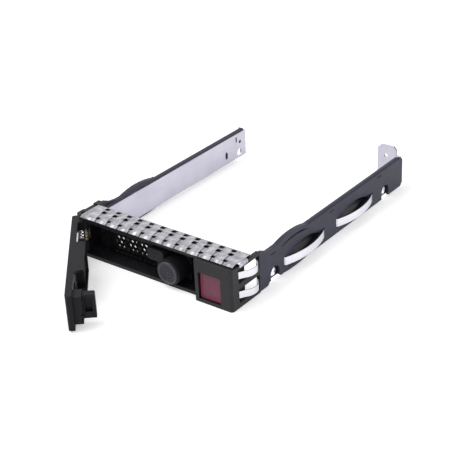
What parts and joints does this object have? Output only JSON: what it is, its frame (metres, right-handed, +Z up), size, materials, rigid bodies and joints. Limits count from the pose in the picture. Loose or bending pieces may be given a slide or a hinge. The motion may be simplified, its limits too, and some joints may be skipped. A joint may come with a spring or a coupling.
{
  "type": "hot swap drive caddy",
  "caption": "Hot swap caddy for a 2.5 inch drive: metal-lined side rails on a slim bezel, a shielding finger strip, a hinged lever and a red release button.",
  "frame": {"origin": "where the bottom centre line of the caddy crosses the front plane of the closed bezel", "axes": "+X to the right as seen from the front, +Y back into the bay along the rails, +Z up; the lever stands open"},
  "size_m": [0.0798, 0.1569, 0.0175],
  "materials": {
    "charcoal_plastic": "near-black moulded plastic, fine texture",
    "rail_plastic": "bluish dark grey moulded plastic, satin",
    "lever_plastic": "dark grey moulded plastic, satin",
    "bright_sheet": "bright rolled stainless sheet",
    "contact_strip": "tin-coloured shielding strip, warm light grey",
    "spring_steel": "bright spring steel",
    "pin_steel": "ground steel",
    "button_red": "deep burgundy plastic, slightly glossy",
    "lamp_grey": "dark grey plastic",
    "lamp_clear": "smoked light-guiding plastic",
    "board_dark": "dark circuit board"
  },
  "bodies": {
    "frame": {"bezel_frame": "charcoal_plastic", "vent_panel": "charcoal_plastic", "lamp_housing": "lamp_grey", "lamp_ring": "lamp_clear", "lamp_cap": "lamp_grey", "lamp_board": "board_dark", "emi_strip": "contact_strip", "ground_clip": "spring_steel", "right_rail": "rail_plastic", "left_rail": "rail_plastic", "right_liner": "bright_sheet", "left_liner": "bright_sheet", "pivot_pin": "pin_steel", "lever_spring": "spring_steel", "button_spring": "spring_steel", "latch_spring": "spring_steel", "right_leaf_front": "spring_steel", "left_leaf_front": "spring_steel", "right_leaf_rear": "spring_steel", "left_leaf_rear": "spring_steel"},
    "lever": {"lever": "lever_plastic", "lever_cam_plate": "spring_steel"},
    "button": {"release_button": "button_red"},
    "latch": {"latch_slide": "charcoal_plastic"}
  },
  "joints": [
    {"name": "lever_swing", "type": "hinge", "parent": "frame", "child": "lever", "pos_m": [-0.03463, 0.0046, 0.008], "axis": [0, 0, 1], "range_deg": [0, 49], "stiffness_Nm_per_rad": 0.006, "springref_deg": -28.65, "deforming": ["lever_spring"]},
    {"name": "button_press", "type": "slide", "parent": "frame", "child": "button", "axis": [0, 1, 0], "range_m": [0, 0.0015], "stiffness_N_per_m": 250, "springref_m": -0.002, "deforming": ["button_spring"]},
    {"name": "latch_move", "type": "slide", "parent": "frame", "child": "latch", "axis": [1, 0, 0], "range_m": [0, 0.0015], "stiffness_N_per_m": 200, "springref_m": -0.002, "deforming": ["latch_spring"]}
  ],
  "couplings": [
    {"joint": "latch_move", "follows": "button_press", "ratio": 1}
  ]
}
